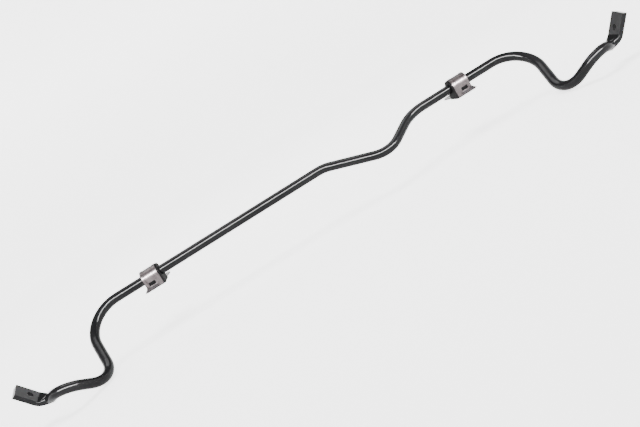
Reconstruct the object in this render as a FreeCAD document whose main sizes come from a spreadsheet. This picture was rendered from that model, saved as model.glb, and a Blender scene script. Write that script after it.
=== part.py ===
import FreeCAD, Part
import math
import os

import Sketcher
from FreeCAD import Placement, Rotation, Vector

# Rear stabilizer bar with its two latched bushing clamps, in millimetres.
# +X runs along the torsion section, +Y away from the arms, +Z up.
# The origin is on the torsion axis, midway between the clamps.

SIZES = [
    # alias, millimetres (angles in degrees), what it is
    ("bar_dia", 18.0, "round bar"),
    ("shoulder_x", 495.5, "corner where the torsion section meets an arm"),
    ("knee_x", 463.5, "lowest corner of an arm"),
    ("knee_y", -120.5, ""),
    ("knee_z", -104.0, ""),
    ("wrist_x", 522.0, "corner where an arm levels out"),
    ("wrist_y", -179.0, ""),
    ("wrist_z", -49.0, ""),
    ("neck_x", 570.5, "corner where the arm turns up into its pad"),
    ("neck_y", -139.5, ""),
    ("neck_z", -67.5, ""),
    ("eye_x", 583.7, "centre of the link hole"),
    ("eye_y", -148.4, ""),
    ("eye_z", -40.8, ""),
    ("shoulder_bend", 60.5, "centreline bend radii"),
    ("knee_bend", 44.0, ""),
    ("wrist_bend", 33.0, ""),
    ("neck_bend", 19.0, ""),
    ("jog_start_x", 37.5, "jog in the torsion section"),
    ("jog_low_x", 157.0, ""),
    ("jog_low_y", -49.0, ""),
    ("jog_low_z", -33.5, ""),
    ("jog_end_x", 234.0, ""),
    ("jog_start_bend", 55.0, ""),
    ("jog_low_bend", 49.0, ""),
    ("jog_end_bend", 86.0, ""),
    ("pad_wide", 30.6, "flattened ends"),
    ("pad_thick", 8.2, ""),
    ("pad_corner", 1.4, ""),
    ("pad_reach", 24.8, "link hole to the end of the pad"),
    ("pad_clip_long", 0.8, "clipped corner, along the pad"),
    ("pad_clip_wide", 3.0, "clipped corner, across the pad"),
    ("eye_dia", 10.3, ""),
    ("clamp_x", 344.7, "clamp centre from the middle"),
    ("bush_run", 0.05, "radial running clearance on the bar"),
    ("bush_inboard", 3.6, "bush stands past the strap, towards the middle"),
    ("bush_outboard", 0.5, "and towards the arm"),
    ("bush_out", 14.7, "outer radius of the bush"),
    ("bush_low", 19.9, "bush bottom below the axis"),
    ("bush_slit", 0.6, ""),
    ("bush_flange", 1.5, "flange against the strap's inboard edge"),
    ("nub_wide", 7.0, "rubber nub that shows in the strap's window"),
    ("strap_wide", 32.5, ""),
    ("strap_in", 14.8, "inner radius of the strap"),
    ("strap_skin", 1.2, "sheet in the grooves"),
    ("strap_band", 2.0, "sheet in the middle band"),
    ("strap_bead", 2.4, "sheet in the edge beads"),
    ("bead_inner_wide", 6.5, "edge bead on the side of the bar's middle"),
    ("bead_outer_wide", 5.5, "edge bead on the side of the arm"),
    ("groove_wide", 1.8, ""),
    ("end_round", 1.6, "rolled outer end of the strap"),
    ("step_round", 0.4, ""),
    ("strap_low", 19.9, "strap feet below the axis"),
    ("notch_wide", 4.2, "cut out of the strap's outer front foot"),
    ("notch_top", 14.5, "below the axis"),
    ("window_shift", 2.5, "window and lip stand off centre, towards the arm"),
    ("window_wide", 14.0, ""),
    ("window_top", 7.2, "below the axis"),
    ("window_low", 14.2, "below the axis"),
    ("base_thick", 2.1, ""),
    ("base_deep", 38.4, ""),
    ("base_wide", 32.5, ""),
    ("lip_wide", 17.0, ""),
    ("lip_top", 15.3, "below the axis"),
    ("lip_thick", 1.9, ""),
    ("ear_long", 48.0, "past the plate's rear edge"),
    ("ear_bolt", 13.0, "bolt hole centre from the ear's tip"),
    ("ear_shift", 8.0, "the ear leans towards the middle"),
    ("ear_hole", 10.5, ""),
    ("tongue_out", 7.0, "locating tongue, past the plate's outer side"),
    ("tongue_top", 12.5, "below the axis"),
]

doc = FreeCAD.newDocument("stabilizer_bar")
sheet = doc.addObject("Spreadsheet::Sheet", "Sizes")
for row, (alias, value, _note) in enumerate(SIZES, start=1):
    sheet.set("A%d" % row, alias)
    sheet.set("B%d" % row, str(value))
    sheet.setAlias("B%d" % row, alias)
doc.recompute()


def size(alias):
    """The value of one driving dimension."""
    return float(sheet.get(alias))


class Dim:
    """A length worked out from the sheet: its value now, and the expression that binds it."""

    def __init__(self, value, text):
        self.value = value
        self.text = text

    def __add__(self, other):
        other = as_dim(other)
        return Dim(self.value + other.value, "(%s + %s)" % (self.text, other.text))

    def __sub__(self, other):
        other = as_dim(other)
        return Dim(self.value - other.value, "(%s - %s)" % (self.text, other.text))

    def __rsub__(self, other):
        return as_dim(other) - self

    def __mul__(self, factor):
        return Dim(self.value * factor, "(%s * %g)" % (self.text, factor))

    def __truediv__(self, factor):
        return self * (1.0 / factor)

    def __neg__(self):
        return self * -1


def as_dim(number):
    """A plain number as a Dim, so that both can stand in one sum."""
    if isinstance(number, Dim):
        return number
    return Dim(float(number), "%g" % number)


def dim(alias):
    """One driving dimension as a Dim."""
    return Dim(size(alias), "Sizes." + alias)


def bind(target, name, length):
    """Bind a property of an object to the sheet."""
    length = as_dim(length)
    setattr(target, name, length.value)
    target.setExpression(name, length.text)


def corner(*aliases):
    """A point whose x, y and z are driving dimensions."""
    return Vector(*[size(alias) for alias in aliases])


# ---------------------------------------------------------------- sketches

ORIGIN_POINT = (-1, 1)
LINE_END = 2


def new_body(name):
    body = doc.addObject("PartDesign::Body", name)
    body.Label = name
    return body


def new_sketch(body, plane, offset=0):
    """A sketch on one of the body's own planes, moved along the plane's normal by an offset."""
    sketch = body.newObject("Sketcher::SketchObject", "sketch")
    plane_object = next(item for item in body.Origin.OriginFeatures if item.Role == plane)
    sketch.AttachmentSupport = [(plane_object, "")]
    sketch.MapMode = "FlatFace"
    offset = as_dim(offset)
    sketch.AttachmentOffset = Placement(Vector(0, 0, offset.value), Rotation())
    sketch.setExpression("AttachmentOffset.Base.z", offset.text)
    return sketch


def hold(sketch, kind, geometry, vertex, length):
    """Hold one coordinate of a vertex at a length from the origin."""
    length = as_dim(length)
    number = sketch.addConstraint(Sketcher.Constraint(kind, *ORIGIN_POINT, geometry, vertex, length.value))
    sketch.setExpression("Constraints[%d]" % number, length.text)


def outline(sketch, corners, arch=None):
    """A closed outline through corners (across, up).

    With arch=k, the side that leaves corner k is a half circle centred on the origin's height.
    """
    points = [(as_dim(across), as_dim(up)) for across, up in corners]
    flat = [Vector(across.value, up.value, 0) for across, up in points]
    first = sketch.GeometryCount
    count = len(flat)
    for index in range(count):
        start = flat[index]
        end = flat[(index + 1) % count]
        if index == arch:
            top = Vector(0, start.x, 0)
            sketch.addGeometry(Part.Arc(start, top, end), False)
        else:
            sketch.addGeometry(Part.LineSegment(start, end), False)
    for index in range(count):
        # An arc through start, top, end keeps start as its first vertex only when it runs
        # anticlockwise, which is how every arch here is drawn.
        following = (index + 1) % count
        sketch.addConstraint(Sketcher.Constraint("Coincident", first + index, 2, first + following, 1))
        hold(sketch, "DistanceX", first + index, LINE_END, points[following][0])
        hold(sketch, "DistanceY", first + index, LINE_END, points[following][1])
    if arch is not None:
        hold(sketch, "DistanceY", first + arch, 3, 0)


def rectangle(sketch, left, right, low, high):
    outline(sketch, [(left, low), (right, low), (right, high), (left, high)])


def circle(sketch, across, up, radius):
    """A circle held by its centre and radius."""
    across, up, radius = as_dim(across), as_dim(up), as_dim(radius)
    centre = Vector(across.value, up.value, 0)
    number = sketch.addGeometry(Part.Circle(centre, Vector(0, 0, 1), radius.value), False)
    hold(sketch, "DistanceX", number, 3, across)
    hold(sketch, "DistanceY", number, 3, up)
    constraint = sketch.addConstraint(Sketcher.Constraint("Radius", number, radius.value))
    sketch.setExpression("Constraints[%d]" % constraint, radius.text)


def pad(body, sketch, length, both_ways=True, reverse=False):
    """Pad a sketch, half each way or all along its normal."""
    feature = body.newObject("PartDesign::Pad", "pad")
    feature.Profile = sketch
    bind(feature, "Length", length)
    if both_ways:
        feature.Midplane = True
    feature.Reversed = reverse
    doc.recompute()
    return feature


def pocket(body, sketch, length, both_ways=True, reverse=False):
    """Cut a sketch out of the body, half each way or all along its normal."""
    feature = body.newObject("PartDesign::Pocket", "pocket")
    feature.Profile = sketch
    bind(feature, "Length", length)
    if both_ways:
        feature.Midplane = True
    feature.Reversed = reverse
    doc.recompute()
    return feature


# ---------------------------------------------------------------- the bar


def bend(before, at, after, radius):
    """The start, middle and end of the arc that rounds a corner, with its centre."""
    towards = (before - at).normalize()
    away = (after - at).normalize()
    half = towards.getAngle(away) / 2
    reach = radius / math.tan(half)
    centre = at + (towards + away).normalize() * (radius / math.sin(half))
    middle = centre + (at - centre).normalize() * radius
    return at + towards * reach, middle, at + away * reach, centre


def mirrored(point):
    return Vector(-point.x, point.y, point.z)


shoulder = Vector(size("shoulder_x"), 0, 0)
knee = corner("knee_x", "knee_y", "knee_z")
wrist = corner("wrist_x", "wrist_y", "wrist_z")
neck = corner("neck_x", "neck_y", "neck_z")
eye = corner("eye_x", "eye_y", "eye_z")

arm = [shoulder, knee, wrist]
arm_bends = [size("shoulder_bend"), size("knee_bend"), size("wrist_bend")]
jog = [
    Vector(size("jog_start_x"), 0, 0),
    corner("jog_low_x", "jog_low_y", "jog_low_z"),
    Vector(size("jog_end_x"), 0, 0),
]
jog_bends = [size("jog_start_bend"), size("jog_low_bend"), size("jog_end_bend")]
corners = [mirrored(point) for point in reversed(arm)] + jog + arm
bends = arm_bends[::-1] + jog_bends + arm_bends

neck_start, neck_middle, neck_end, neck_centre = bend(wrist, neck, eye, size("neck_bend"))
ends = [mirrored(neck_start)] + corners + [neck_start]

edges = []
here = ends[0]
for index, radius in enumerate(bends, start=1):
    start, middle, end, _centre = bend(ends[index - 1], ends[index], ends[index + 1], radius)
    edges.append(Part.LineSegment(here, start).toShape())
    edges.append(Part.Arc(start, middle, end).toShape())
    here = end
edges.append(Part.LineSegment(here, ends[-1]).toShape())

bar_path = doc.addObject("Part::Feature", "bar_path")
bar_path.Shape = Part.Wire(edges)

bar_round = doc.addObject("Part::Circle", "bar_round")
bind(bar_round, "Radius", dim("bar_dia") / 2)
start_heading = ends[1] - ends[0]
bar_round.Placement = Placement(ends[0], Rotation(Vector(0, 0, 1), start_heading))

bar_rod = doc.addObject("Part::Sweep", "bar_rod")
bar_rod.Sections = [bar_round]
bar_rod.Spine = (bar_path, ["Edge%d" % (number + 1) for number in range(len(edges))])
bar_rod.Solid = True
bar_rod.Frenet = False
doc.recompute()

# The pad's own frame: x along the pad, y across it, z out of the face that looks inboard.
pad_along = (eye - neck).normalize()
pad_across = Vector(0.09, 0.94, 0.32)
pad_across = (pad_across - pad_along * pad_along.dot(pad_across)).normalize()
pad_face = pad_across.cross(pad_along) * -1


def frame_at(origin, along, across):
    """A placement with x along and y across."""
    out = along.cross(across)
    return Placement(origin, Rotation(along, across, out, "XYZ"))


def rounded_section(name, place, wide, thick, radius):
    """A rounded rectangle across a placement's x axis."""
    half_wide = wide / 2 - radius
    half_thick = thick / 2 - radius
    quarter = [(1, 1), (-1, 1), (-1, -1), (1, -1)]
    pieces = []
    for turn, (side, lift) in enumerate(quarter):
        centre = Vector(0, side * half_wide, lift * half_thick)
        angles = [math.radians(90 * turn + step) for step in (0, 45, 90)]
        arc = [centre + Vector(0, math.cos(a), math.sin(a)) * radius for a in angles]
        pieces.append(Part.Arc(*arc).toShape())
        next_side, next_lift = quarter[(turn + 1) % 4]
        next_centre = Vector(0, next_side * half_wide, next_lift * half_thick)
        joined = next_centre + (arc[2] - centre)
        pieces.append(Part.LineSegment(arc[2], joined).toShape())
    section = doc.addObject("Part::Feature", name)
    section.Shape = Part.Wire(pieces)
    section.Placement = place
    return section


# The neck flattens along its bend, from the round bar to the pad.
turn_axis = (neck - wrist).cross(eye - neck).normalize()
turn_angle = (neck - wrist).getAngle(eye - neck)
dia = size("bar_dia")
sections = []
for share, wide, thick, radius in [
    (0.0, dia - 0.1, dia - 0.1, dia / 2 - 0.1),
    (0.2, dia + 2.0, dia - 4.5, 5.5),
    (0.5, size("pad_wide") - 1.5, size("pad_thick") + 0.8, 2.6),
    (0.75, size("pad_wide"), size("pad_thick"), size("pad_corner")),
    (1.0, size("pad_wide"), size("pad_thick"), size("pad_corner")),
]:
    back = Rotation(turn_axis, -math.degrees(turn_angle) * (1 - share))
    along = back.multVec(pad_along)
    across = back.multVec(pad_across)
    origin = neck_centre + back.multVec(neck_end - neck_centre)
    sections.append(rounded_section("neck_section", frame_at(origin, along, across), wide, thick, radius))

neck_loft = doc.addObject("Part::Loft", "neck_loft")
neck_loft.Sections = sections
neck_loft.Solid = True
neck_loft.Ruled = False

# The flat pad, drawn in its own frame with the link hole at the origin.
neck_to_eye = (eye - neck_end).Length
flat_pad = new_body("flat_pad")
pad_end = new_sketch(flat_pad, "YZ_Plane", -neck_to_eye)
half_wide = dim("pad_wide") / 2
half_thick = dim("pad_thick") / 2
rectangle(pad_end, -half_wide, half_wide, -half_thick, half_thick)
plain_pad = pad(flat_pad, pad_end, dim("pad_reach") + neck_to_eye, both_ways=False)
long_edges = [
    "Edge%d" % (number + 1)
    for number, edge in enumerate(flat_pad.Shape.Edges)
    if edge.Length > size("pad_wide") + 1
]
pad_fillet = flat_pad.newObject("PartDesign::Fillet", "pad_fillet")
pad_fillet.Base = (plain_pad, long_edges)
bind(pad_fillet, "Radius", dim("pad_corner"))
doc.recompute()
clip = new_sketch(flat_pad, "XY_Plane")
outline(clip, [
    (dim("pad_reach") - dim("pad_clip_long"), half_wide),
    (dim("pad_reach"), half_wide - dim("pad_clip_wide")),
    (dim("pad_reach") + 2, half_wide - dim("pad_clip_wide")),
    (dim("pad_reach") + 2, half_wide + 1),
    (dim("pad_reach") - dim("pad_clip_long"), half_wide + 1),
])
pocket(flat_pad, clip, dim("pad_thick") * 2)
eye_sketch = new_sketch(flat_pad, "XY_Plane")
circle(eye_sketch, 0, 0, dim("eye_dia") / 2)
pocket(flat_pad, eye_sketch, dim("pad_thick") * 2)
flat_pad.Placement = frame_at(eye, pad_along, pad_across)
doc.recompute()


def mirror_of(source, name):
    twin = doc.addObject("Part::Mirroring", name)
    twin.Source = source
    twin.Normal = Vector(1, 0, 0)
    twin.Base = Vector(0, 0, 0)
    return twin


bar = doc.addObject("Part::MultiFuse", "stabilizer_bar")
bar.Shapes = [bar_rod, neck_loft, flat_pad, mirror_of(neck_loft, "neck_twin"), mirror_of(flat_pad, "pad_twin")]
bar.Refine = False
doc.recompute()

# ---------------------------------------------------------------- bushes and clamps


def d_outline(sketch, radius, low, foot=None):
    """A half circle over straight sides that end at a foot below the axis."""
    foot = radius if foot is None else foot
    outline(sketch, [(foot, -low), (radius, 0), (-radius, 0), (-foot, -low)], arch=1)


def place_on_bar(body, side):
    body.Placement.Base = Vector(side * size("clamp_x"), 0, 0)
    body.setExpression("Placement.Base.x", (dim("clamp_x") * side).text)


def make_bush(name, side):
    """A split rubber bush: a D section, with a flange that stands past the strap's inboard edge."""
    body = new_body(name)
    half_strap = dim("strap_wide") / 2
    inboard = half_strap + dim("bush_inboard")
    outboard = half_strap + dim("bush_outboard")
    core = new_sketch(body, "YZ_Plane", (outboard - inboard) / 2 * side)
    d_outline(core, dim("bush_out"), dim("bush_low"))
    pad(body, core, inboard + outboard)
    rim = new_sketch(body, "YZ_Plane", -inboard * side)
    d_outline(rim, dim("bush_out") + dim("bush_flange"), dim("bush_low") + dim("base_thick"),
              foot=dim("base_deep") / 2)
    pad(body, rim, dim("bush_inboard") - 0.3, both_ways=False, reverse=side < 0)
    nub = new_sketch(body, "YZ_Plane", dim("window_shift") * side)
    rectangle(nub, -dim("strap_in") - 1, -dim("bush_out") + 1,
              -dim("window_low") + 1.2, -dim("window_top") - 1.2)
    pad(body, nub, dim("nub_wide"))
    bore = new_sketch(body, "YZ_Plane")
    circle(bore, 0, 0, dim("bar_dia") / 2 + dim("bush_run"))
    pocket(body, bore, dim("strap_wide") * 2)
    slit = new_sketch(body, "YZ_Plane")
    rectangle(slit, 0, dim("base_deep"), -dim("bush_slit") / 2, dim("bush_slit") / 2)
    pocket(body, slit, dim("strap_wide") * 2)
    place_on_bar(body, side)
    return body


def round_over(body, feature, radius, picked):
    """Round the edges of a feature that picked(edge) takes."""
    names = ["Edge%d" % (n + 1) for n, edge in enumerate(feature.Shape.Edges) if picked(edge)]
    rounded = body.newObject("PartDesign::Fillet", "round_over")
    rounded.Base = (feature, names)
    bind(rounded, "Radius", radius)
    doc.recompute()
    return rounded


def make_strap(name, side):
    """The pressed strap: a middle band and two edge beads that stand out of a thinner sheet."""
    body = new_body(name)
    half_strap = dim("strap_wide") / 2
    inner_bead = dim("bead_inner_wide")
    outer_bead = dim("bead_outer_wide")
    middle = dim("strap_wide") - inner_bead - outer_bead - dim("groove_wide") * 2
    levels = [
        (dim("strap_skin"), dim("strap_wide"), Dim(0, "0")),
        (dim("strap_band"), middle, (inner_bead - outer_bead) / 2),
        (dim("strap_bead"), inner_bead, inner_bead / 2 - half_strap),
        (dim("strap_bead"), outer_bead, half_strap - outer_bead / 2),
    ]
    for thick, wide, offset in levels:
        solid = new_sketch(body, "YZ_Plane", offset * side)
        d_outline(solid, dim("strap_in") + thick, dim("strap_low"))
        last = pad(body, solid, wide)

    end = half_strap.value

    def across_the_arch(edge):
        box = edge.BoundBox
        return box.XLength < 0.01 and box.ZMax > 0.5 and box.ZMin < 0.5

    def at_outer_end(edge):
        return across_the_arch(edge) and abs(edge.BoundBox.XMin - side * end) < 0.01

    def at_a_step(edge):
        if not across_the_arch(edge) or abs(abs(edge.BoundBox.XMin) - end) < 0.01:
            return False
        return edge.BoundBox.ZMax > size("strap_in") + size("strap_skin") + 0.1

    last = round_over(body, last, dim("end_round"), at_outer_end)
    last = round_over(body, last, dim("step_round"), at_a_step)
    inside = new_sketch(body, "YZ_Plane")
    d_outline(inside, dim("strap_in"), dim("strap_low") + 1)
    pocket(body, inside, dim("strap_wide") + 4)

    window = new_sketch(body, "XZ_Plane")
    centre = dim("window_shift") * side
    half = dim("window_wide") / 2
    rectangle(window, centre - half, centre + half, -dim("window_low"), -dim("window_top"))
    pocket(body, window, dim("base_deep"), both_ways=False, reverse=True)

    notch = new_sketch(body, "XZ_Plane")
    cut_in = (half_strap - dim("notch_wide")) * side
    cut_out = (half_strap + 1) * side
    left, right = (cut_in, cut_out) if side > 0 else (cut_out, cut_in)
    rectangle(notch, left, right, -dim("strap_low") - 1, -dim("notch_top"))
    pocket(body, notch, dim("base_deep"), both_ways=False, reverse=True)
    place_on_bar(body, side)
    return body


def make_base(name, side):
    """The base plate: two latch lips, an upright locating tongue in front, a bolt ear behind."""
    body = new_body(name)
    top = -(dim("strap_low") + 0.1)
    low = top - dim("base_thick")
    edge = dim("base_deep") / 2
    half_plate = dim("base_wide") / 2
    lip_in = dim("strap_in") + dim("strap_bead") + 0.1
    lip_out = lip_in + dim("lip_thick")

    plate = new_sketch(body, "YZ_Plane")
    rectangle(plate, -edge, edge, low, top)
    pad(body, plate, dim("base_wide"))

    for facing in (-1, 1):
        lip = new_sketch(body, "YZ_Plane", dim("window_shift") * side)
        front, rear = sorted((lip_in * facing, lip_out * facing), key=lambda face: face.value)
        rectangle(lip, front, rear, low, -dim("lip_top"))
        pad(body, lip, dim("lip_wide"))

    tongue = new_sketch(body, "XZ_Plane", lip_in)
    out = half_plate + dim("tongue_out")
    tongue_shape = [
        (half_plate - 8, low),
        (out - 4.5, low),
        (out, low + 1.4),
        (out - 5.5, low + 6),
        (half_plate - 1.5, -dim("tongue_top")),
        (half_plate - 3.5, -dim("tongue_top") - 4),
        (half_plate - 8, -dim("tongue_top") - 5),
    ]
    outline(tongue, [(across * side, up) for across, up in tongue_shape])
    pad(body, tongue, dim("lip_thick"), both_ways=False)

    ear = new_sketch(body, "XY_Plane", low)
    tip = edge + dim("ear_long")
    lean = dim("ear_shift")
    bolt_along = tip - dim("ear_bolt")
    ear_shape = [
        (half_plate - 5, edge - 1),
        (half_plate - 6, edge + 8),
        (13 - lean, bolt_along),
        (9.5 - lean, tip - 3.5),
        (4.5 - lean, tip),
        (-4.5 - lean, tip),
        (-9.5 - lean, tip - 3.5),
        (-13 - lean, bolt_along),
        (-half_plate - 1, edge + 10),
        (-half_plate + 2, edge - 1),
    ]
    outline(ear, [(across * side, along) for across, along in ear_shape])
    pad(body, ear, dim("base_thick"), both_ways=False)
    bolt = new_sketch(body, "XY_Plane", low)
    circle(bolt, -lean * side, bolt_along, dim("ear_hole") / 2)
    pocket(body, bolt, dim("base_thick") * 4)
    place_on_bar(body, side)
    return body


made = [bar]
for word, side in (("left", -1), ("right", 1)):
    made.append(make_bush(word + "_bush", side))
    made.append(make_strap(word + "_strap", side))
    made.append(make_base(word + "_base_plate", side))
doc.recompute()

# ---------------------------------------------------------------- tests and files

for item in doc.Objects:
    if "Invalid" in item.State or "Error" in item.State:
        raise RuntimeError("%s is %s" % (item.Name, item.State))
for item in made:
    if item.Shape.isNull() or not item.Shape.isValid():
        raise RuntimeError("%s has no valid shape" % item.Label)
    print(item.Label, "solids", len(item.Shape.Solids), "volume", round(item.Shape.Volume))

os.makedirs("parts", exist_ok=True)
for item in made:
    item.Shape.exportStep("parts/%s.step" % item.Label)
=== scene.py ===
import math

import bmesh
import bpy
from mathutils import Matrix, Vector


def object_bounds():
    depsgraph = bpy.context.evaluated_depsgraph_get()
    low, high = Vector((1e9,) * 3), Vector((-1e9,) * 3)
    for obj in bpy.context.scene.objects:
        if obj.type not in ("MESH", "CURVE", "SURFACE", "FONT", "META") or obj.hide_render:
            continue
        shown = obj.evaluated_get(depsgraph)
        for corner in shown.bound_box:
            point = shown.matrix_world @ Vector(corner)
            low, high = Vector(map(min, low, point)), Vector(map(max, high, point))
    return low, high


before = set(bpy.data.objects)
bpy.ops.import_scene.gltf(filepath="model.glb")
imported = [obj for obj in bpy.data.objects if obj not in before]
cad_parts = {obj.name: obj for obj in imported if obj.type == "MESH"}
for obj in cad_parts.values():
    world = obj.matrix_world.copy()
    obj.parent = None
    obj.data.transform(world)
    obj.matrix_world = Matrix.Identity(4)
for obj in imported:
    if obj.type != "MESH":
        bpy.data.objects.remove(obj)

CAD_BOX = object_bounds()

MM = 0.001  # everything here is in metres, and small depths are written as so many MM

# ---------------------------------------------------------------- camera
# The camera looks at a point in front of and below the middle of the torsion axis.
# Distances are in metres, angles in degrees, and the lens and its sensor in millimetres.
VIEW_TARGET = Vector((-0.0156, -0.0598, -0.0591))
VIEW_DISTANCE = 1.1145
VIEW_AZIMUTH = -2.36
VIEW_ELEVATION = 11.58
VIEW_ROLL = -31.69
VIEW_LENS = 34.31
VIEW_SENSOR = 36.0
NEAREST_SEEN = 0.01


def add_camera():
    data = bpy.data.cameras.new("camera")
    data.lens = VIEW_LENS
    data.sensor_width = VIEW_SENSOR
    data.clip_start = NEAREST_SEEN
    camera = bpy.data.objects.new("camera", data)
    bpy.context.collection.objects.link(camera)
    azimuth = math.radians(VIEW_AZIMUTH)
    elevation = math.radians(VIEW_ELEVATION)
    back = Vector((
        math.sin(azimuth) * math.cos(elevation),
        -math.cos(azimuth) * math.cos(elevation),
        math.sin(elevation),
    ))
    level = Vector((math.cos(azimuth), math.sin(azimuth), 0))
    upright = back.cross(level)
    turn = Matrix((level, upright, back)).transposed().to_4x4()
    roll = Matrix.Rotation(math.radians(VIEW_ROLL), 4, "Z")
    camera.matrix_world = Matrix.Translation(VIEW_TARGET + back * VIEW_DISTANCE) @ turn @ roll
    bpy.context.scene.camera = camera


# ---------------------------------------------------------------- material helpers
NOISE_SPAN = (0.3, 0.7)  # where most values of a noise lie
FULL = (0.0, 1.0)
BEVEL_SAMPLES = 6


def darker(colour, share):
    return tuple(part * share for part in colour)


class Finish:
    """A node material, with short calls for the nodes used here. Coordinates are in metres."""

    def __init__(self, name):
        self.material = bpy.data.materials.new(name)
        self.material.use_nodes = True
        self.tree = self.material.node_tree
        self.shader = self.tree.nodes["Principled BSDF"]
        self.place = self.tree.nodes.new("ShaderNodeTexCoord").outputs["Object"]

    def node(self, kind, **facts):
        made = self.tree.nodes.new(kind)
        for name, value in facts.items():
            setattr(made, name, value)
        return made

    def link(self, source, target):
        self.tree.links.new(source, target)

    def set(self, **values):
        """Fixed values on the shader's own sockets, with _ for each space in a socket's name."""
        for name, value in values.items():
            self.shader.inputs[name.replace("_", " ")].default_value = value

    def noise(self, per_metre, detail=2.0, rough=0.5, stretch=(1, 1, 1)):
        """Noise with about per_metre features to the metre, drawn out where stretch is small."""
        mapping = self.node("ShaderNodeMapping")
        mapping.inputs["Scale"].default_value = stretch
        self.link(self.place, mapping.inputs["Vector"])
        made = self.node("ShaderNodeTexNoise")
        made.inputs["Scale"].default_value = per_metre
        made.inputs["Detail"].default_value = detail
        made.inputs["Roughness"].default_value = rough
        self.link(mapping.outputs["Vector"], made.inputs["Vector"])
        return made.outputs["Fac"]

    def spots(self, per_metre):
        """Distance to the nearest of scattered points, in cells."""
        made = self.node("ShaderNodeTexVoronoi")
        made.inputs["Scale"].default_value = per_metre
        self.link(self.place, made.inputs["Vector"])
        return made.outputs["Distance"]

    def remap(self, source, given, wanted):
        """The source with its given range moved to the wanted one, and held within it."""
        made = self.node("ShaderNodeMapRange")
        made.inputs["From Min"].default_value = given[0]
        made.inputs["From Max"].default_value = given[1]
        made.inputs["To Min"].default_value = wanted[0]
        made.inputs["To Max"].default_value = wanted[1]
        self.link(source, made.inputs["Value"])
        return made.outputs["Result"]

    def combine(self, operation, first, second):
        made = self.node("ShaderNodeMath", operation=operation)
        self.link(first, made.inputs[0])
        self.link(second, made.inputs[1])
        return made.outputs["Value"]

    def blend(self, share, first, second):
        """A colour between two, where each may be a plain colour or another socket."""
        made = self.node("ShaderNodeMix", data_type="RGBA")
        colours = [socket for socket in made.inputs if socket.type == "RGBA"]
        for socket, value in zip(colours, (first, second)):
            if isinstance(value, tuple):
                socket.default_value = (*value, 1.0)
            else:
                self.link(value, socket)
        self.link(share, made.inputs["Factor"])
        return next(socket for socket in made.outputs if socket.type == "RGBA")

    def colour(self, socket):
        self.link(socket, self.shader.inputs["Base Color"])

    def roughness(self, socket):
        self.link(socket, self.shader.inputs["Roughness"])

    def bumps(self, *layers, edge):
        """Stack (height socket, depth in metres) layers on an edge softened by edge metres."""
        soft = self.node("ShaderNodeBevel", samples=BEVEL_SAMPLES)
        soft.inputs["Radius"].default_value = edge
        normal = soft.outputs["Normal"]
        for height, depth in layers:
            bump = self.node("ShaderNodeBump")
            bump.inputs["Strength"].default_value = 1.0
            bump.inputs["Distance"].default_value = depth
            self.link(height, bump.inputs["Height"])
            self.link(normal, bump.inputs["Normal"])
            normal = bump.outputs["Normal"]
        self.link(normal, self.shader.inputs["Normal"])


# ---------------------------------------------------------------- finishes
def black_enamel():
    """Baked gloss enamel over a forged bar: orange peel, a few dust nibs and faint scuffs."""
    deep = (0.0008, 0.0008, 0.0009)
    faded = (0.0020, 0.0020, 0.0021)
    dust = (0.03, 0.029, 0.028)
    finish = Finish("black_enamel")
    tone = finish.remap(finish.noise(14, detail=3), NOISE_SPAN, FULL)
    black = finish.blend(tone, deep, faded)
    dust_patch = finish.remap(finish.noise(45), (0.50, 0.72), (0.0, 0.35))
    specks = finish.remap(finish.spots(900), (0.05, 0.16), (1.0, 0.0))
    dusted = finish.combine("MULTIPLY", specks, dust_patch)
    finish.colour(finish.blend(dusted, black, dust))
    scratches = finish.noise(260, detail=4, rough=0.6, stretch=(0.12, 1, 1))
    scuff = finish.remap(scratches, (0.60, 0.75), (0.0, 0.12))
    broad = finish.remap(finish.noise(30, detail=3), NOISE_SPAN, (0.09, 0.14))
    finish.roughness(finish.combine("ADD", broad, scuff))
    orange_peel = finish.noise(230)
    forging = finish.noise(45, detail=1)
    nibs = finish.remap(finish.spots(420), (0.0, 0.09), (1.0, 0.0))
    finish.bumps((orange_peel, 0.10 * MM), (forging, 0.25 * MM), (nibs, 0.04 * MM), edge=0.6 * MM)
    finish.set(IOR=1.17)
    return finish.material


def coated_steel(name, light, dark, rough):
    """Pressed strip steel with a thin metal coat: fine grain, soft clouds, pores, drawn lines."""
    finish = Finish(name)
    clouds = finish.remap(finish.noise(110, detail=4, rough=0.6), (0.32, 0.68), FULL)
    coat = finish.blend(clouds, dark, light)
    grain = finish.remap(finish.noise(1800, rough=0.6), (0.35, 0.65), (0.0, 0.30))
    coat = finish.blend(grain, coat, darker(dark, 0.55))
    pores = finish.remap(finish.spots(520), (0.04, 0.14), (0.55, 0.0))
    coat = finish.blend(pores, coat, darker(dark, 0.35))
    finish.colour(coat)
    drawn = finish.noise(1500, detail=3, rough=0.6, stretch=(1.0, 0.05, 0.05))
    finish.roughness(finish.remap(drawn, NOISE_SPAN, (rough - 0.07, rough + 0.09)))
    pitting = finish.noise(420, detail=3)
    ripple = finish.noise(60, detail=1)
    finish.bumps((drawn, 0.02 * MM), (pitting, 0.06 * MM), (ripple, 0.15 * MM), edge=0.5 * MM)
    finish.set(Metallic=1.0)
    return finish.material


def moulded_rubber():
    """Moulded natural rubber: matt, finely pitted, with a dusty bloom in patches."""
    clean = (0.0004, 0.0004, 0.0005)
    dusty = (0.0016, 0.0015, 0.0015)
    finish = Finish("moulded_rubber")
    bloom = finish.remap(finish.noise(160, detail=4, rough=0.6), (0.42, 0.75), (0.0, 0.6))
    finish.colour(finish.blend(bloom, clean, dusty))
    finish.roughness(finish.remap(finish.noise(500, detail=3), NOISE_SPAN, (0.55, 0.78)))
    pits = finish.noise(1400, detail=3)
    flow = finish.noise(220)
    finish.bumps((pits, 0.05 * MM), (flow, 0.08 * MM), edge=0.7 * MM)
    finish.set(IOR=1.1)
    return finish.material


SWEEP_GLOW = 2.3  # emission that keeps the floor pale and without hard shadows


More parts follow.
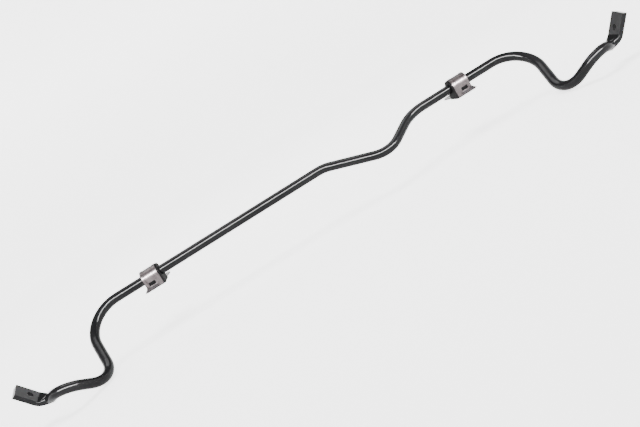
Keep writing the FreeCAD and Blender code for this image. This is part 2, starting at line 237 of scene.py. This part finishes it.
def paper_white():
    """The plain pale sweep that the bar is shown on."""
    finish = Finish("paper_white")
    mottle = finish.remap(finish.noise(6, detail=3), NOISE_SPAN, FULL)
    finish.colour(finish.blend(mottle, (0.88, 0.88, 0.88), (0.90, 0.90, 0.90)))
    finish.roughness(finish.remap(finish.noise(40), NOISE_SPAN, (0.85, 0.95)))
    finish.set(Emission_Color=(1.0, 1.0, 1.0, 1.0), Emission_Strength=SWEEP_GLOW)
    return finish.material


def dress():
    """Give each CAD piece its finish."""
    enamel = black_enamel()
    zinc = coated_steel(
        "zinc_flake_steel", light=(0.082, 0.072, 0.073), dark=(0.052, 0.044, 0.045), rough=0.30)
    # The base plates get a darker coat than the straps: partly a plainer steel, partly painted
    # shade, because their faces turn down and away from the light.
    plate_steel_and_shade = coated_steel(
        "plate_steel_with_painted_shade", light=(0.036, 0.033, 0.034), dark=(0.020, 0.018, 0.019), rough=0.36)
    rubber = moulded_rubber()
    worn_by = {
        "stabilizer_bar": enamel,
        "left_strap": zinc,
        "right_strap": zinc,
        "left_base_plate": plate_steel_and_shade,
        "right_base_plate": plate_steel_and_shade,
        "left_bush": rubber,
        "right_bush": rubber,
    }
    for node, material in worn_by.items():
        for slot in bpy.data.objects[node].material_slots:
            slot.material = material


# ---------------------------------------------------------------- the sweep
FLOOR_GAP = 0.002  # from the object's lowest point down to the floor
FLOOR_RADIUS = 4.0
CURVE_RADIUS = 1.5  # of the turn from floor to wall
CURVE_STEPS = 12
WALL_TOP = 3.2
SWEEP_SIDES = 96


def sweep_profile():
    """The sweep's (radius, height) points, from the first ring outwards and up."""
    profile = [(FLOOR_RADIUS / 2, 0.0), (FLOOR_RADIUS, 0.0)]
    for step in range(1, CURVE_STEPS + 1):
        angle = math.radians(90 * step / CURVE_STEPS)
        outwards = FLOOR_RADIUS + CURVE_RADIUS * math.sin(angle)
        profile.append((outwards, CURVE_RADIUS * (1 - math.cos(angle))))
    profile.append((FLOOR_RADIUS + CURVE_RADIUS, WALL_TOP))
    return profile


def add_sweep(floor_z):
    """A round floor whose edge curves up into a low wall, the same from every side."""
    rings = bmesh.new()
    centre = rings.verts.new((0, 0, floor_z))
    inner = None
    for radius, up in sweep_profile():
        ring = []
        for step in range(SWEEP_SIDES):
            angle = 2 * math.pi * step / SWEEP_SIDES
            across = radius * math.cos(angle)
            along = radius * math.sin(angle)
            ring.append(rings.verts.new((across, along, floor_z + up)))
        for step in range(SWEEP_SIDES):
            after = (step + 1) % SWEEP_SIDES
            if inner is None:
                rings.faces.new((centre, ring[step], ring[after]))
            else:
                rings.faces.new((inner[step], ring[step], ring[after], inner[after]))
        inner = ring
    for face in rings.faces:
        face.smooth = True
    mesh = bpy.data.meshes.new("sweep")
    rings.to_mesh(mesh)
    rings.free()
    sweep = bpy.data.objects.new("sweep", mesh)
    bpy.context.collection.objects.link(sweep)
    mesh.materials.append(paper_white())


# ---------------------------------------------------------------- the lights
LIGHT_AIM = Vector((0.0, 0.0, 0.0))  # the middle of the torsion axis
WORLD_STRENGTH = 0.12


def add_light(name, place, size, power, only=None):
    """A soft rectangular light that the camera itself doesn't see; only= is what it lights."""
    data = bpy.data.lights.new(name, "AREA")
    data.shape = "RECTANGLE"
    data.size, data.size_y = size
    data.energy = power
    light = bpy.data.objects.new(name, data)
    bpy.context.collection.objects.link(light)
    light.location = place
    light.rotation_euler = (LIGHT_AIM - Vector(place)).to_track_quat("-Z", "Y").to_euler()
    light.visible_camera = False
    if only:
        light.light_linking.receiver_collection = only


def add_lights():
    """A long strip draws the thin highlight along the bar, and lights nothing else, so that
    the floor stays even. A broad overhead light and a dim white world fill in the rest."""
    object_only = bpy.data.collections.new("object_only")
    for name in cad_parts:
        object_only.objects.link(bpy.data.objects[name])
    add_light("strip", place=(0.0, -1.42, 0.84), size=(3.4, 0.24), power=850, only=object_only)
    add_light("overhead", place=(0.0, 0.6, 2.6), size=(2.4, 1.6), power=110)


def add_world():
    world = bpy.data.worlds.new("world")
    bpy.context.scene.world = world
    world.use_nodes = True
    background = world.node_tree.nodes["Background"]
    background.inputs["Color"].default_value = (1.0, 1.0, 1.0, 1.0)
    background.inputs["Strength"].default_value = WORLD_STRENGTH


# ---------------------------------------------------------------- the scene
add_camera()
add_sweep(CAD_BOX[0][2] - FLOOR_GAP)
dress()
add_lights()
add_world()
